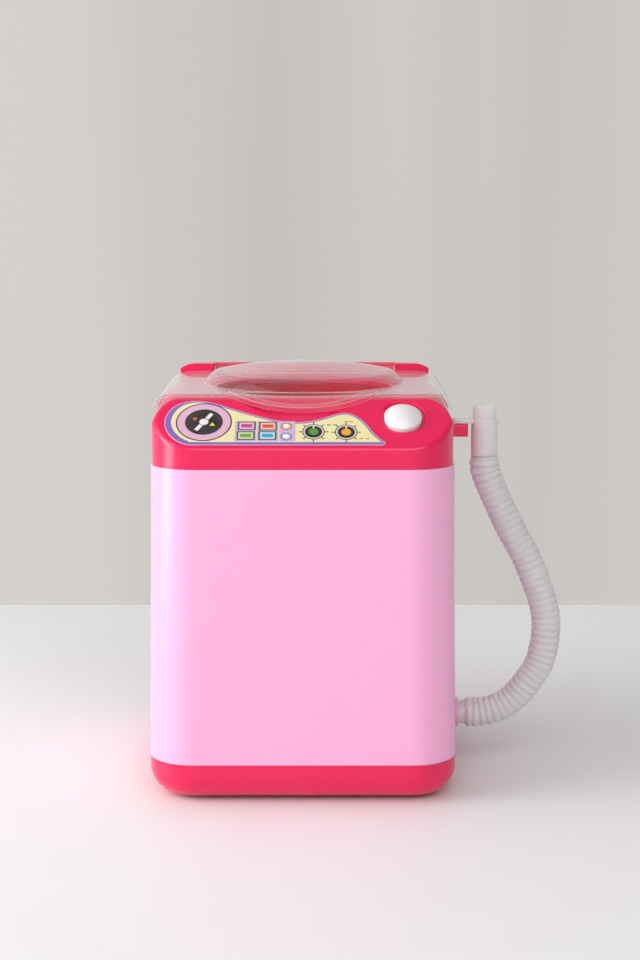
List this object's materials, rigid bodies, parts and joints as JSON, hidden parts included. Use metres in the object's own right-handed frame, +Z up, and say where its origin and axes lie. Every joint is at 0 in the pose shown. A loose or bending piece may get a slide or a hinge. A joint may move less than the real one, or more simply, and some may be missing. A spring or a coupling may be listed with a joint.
{
  "type": "brush cleaner",
  "caption": "Toy washing machine for cleaning make-up brushes: domed clear lid, spinning pulsator in a round tub, sloped control panel and a corrugated drain hose.",
  "frame": {"origin": "centre of the square footprint, on the table under the feet", "axes": "+X to the hose side, +Y to the back where the lid is hinged, +Z up"},
  "size_m": [0.1403, 0.1026, 0.1414],
  "materials": {
    "deep_pink": "glossy injection moulded plastic",
    "light_pink": "glossy injection moulded plastic",
    "crimson_plastic": "glossy injection moulded plastic",
    "clear_plastic": "clear polished polystyrene",
    "hose_plastic": "translucent soft plastic, corrugated",
    "white_plastic": "glossy white plastic",
    "cream_vinyl": "printed vinyl sticker, satin",
    "black_rubber": "matte rubber",
    "black_plastic": "satin black plastic",
    "grey_plastic": "satin grey plastic",
    "nylon": "natural white nylon",
    "steel": "plain steel",
    "nickel_steel": "nickel plated steel",
    "brass": "turned brass",
    "ferrite": "sintered dark grey",
    "cell_jacket": "printed plastic jacket, plain",
    "wire_red": "insulated stranded wire"
  },
  "bodies": {
    "case": {"base_tray": "deep_pink", "rubber_feet": "black_rubber", "body_shell": "light_pink", "top_cover": "deep_pink", "case_screws": "steel", "control_sticker": "cream_vinyl", "wash_tub": "crimson_plastic", "tub_screws": "steel", "shaft_bush": "brass", "shaft_seal": "black_rubber", "gearbox_base": "grey_plastic", "gearbox_cover": "grey_plastic", "gearbox_screws": "steel", "idler_axle": "steel", "motor_can": "nickel_steel", "motor_end_cap": "nylon", "motor_magnets": "ferrite", "motor_terminals": "brass", "button_spring": "steel", "switch_body": "black_plastic", "switch_screws": "steel", "battery_box": "black_plastic", "battery_cells": "cell_jacket", "battery_contacts": "nickel_steel", "drain_spout": "light_pink", "drain_tube": "hose_plastic", "wires": "wire_red"},
    "lid": {"lid": "clear_plastic"},
    "agitator": {"pulsator": "crimson_plastic", "pulsator_screw": "steel", "drive_shaft": "steel", "output_gear": "nylon"},
    "idler": {"idler_gear": "nylon"},
    "motor_rotor": {"motor_shaft": "steel", "motor_armature": "ferrite", "motor_pinion": "brass"},
    "button": {"push_button": "white_plastic", "switch_plunger": "white_plastic"},
    "hose": {"drain_hose": "hose_plastic", "hose_outlet_cuff": "hose_plastic"},
    "battery_hatch": {"battery_door": "deep_pink", "battery_door_screw": "steel"}
  },
  "joints": [
    {"name": "lid_hinge", "type": "hinge", "parent": "case", "child": "lid", "pos_m": [0, 0.0462, 0.1352], "axis": [-1, 0, 0], "range_deg": [0, 105]},
    {"name": "button_press", "type": "slide", "parent": "case", "child": "button", "axis": [0, 0.566, -0.8244], "range_m": [0, 0.002], "stiffness_N_per_m": 400, "springref_m": -0.002, "deforming": ["button_spring"]},
    {"name": "pulsator_spin", "type": "hinge", "parent": "case", "child": "agitator", "pos_m": [0, 0.007, 0.066], "axis": [0, 0, 1], "continuous": true},
    {"name": "idler_spin", "type": "hinge", "parent": "case", "child": "idler", "pos_m": [-0.012, 0.007, 0.052], "axis": [0, 0, 1], "continuous": true},
    {"name": "motor_spin", "type": "hinge", "parent": "case", "child": "motor_rotor", "pos_m": [-0.0235, 0.007, 0.04], "axis": [0, 0, 1], "continuous": true},
    {"name": "hose_swing", "type": "hinge", "parent": "case", "child": "hose", "pos_m": [0.0514, -0.01, 0.02], "axis": [1, 0, 0], "range_deg": [-90, 90]},
    {"name": "battery_door_lift", "type": "slide", "parent": "case", "child": "battery_hatch", "axis": [0, 0, -1], "range_m": [0, 0.015]}
  ],
  "couplings": [
    {"joint": "idler_spin", "follows": "pulsator_spin", "ratio": -3},
    {"joint": "motor_spin", "follows": "pulsator_spin", "ratio": 10.8}
  ]
}
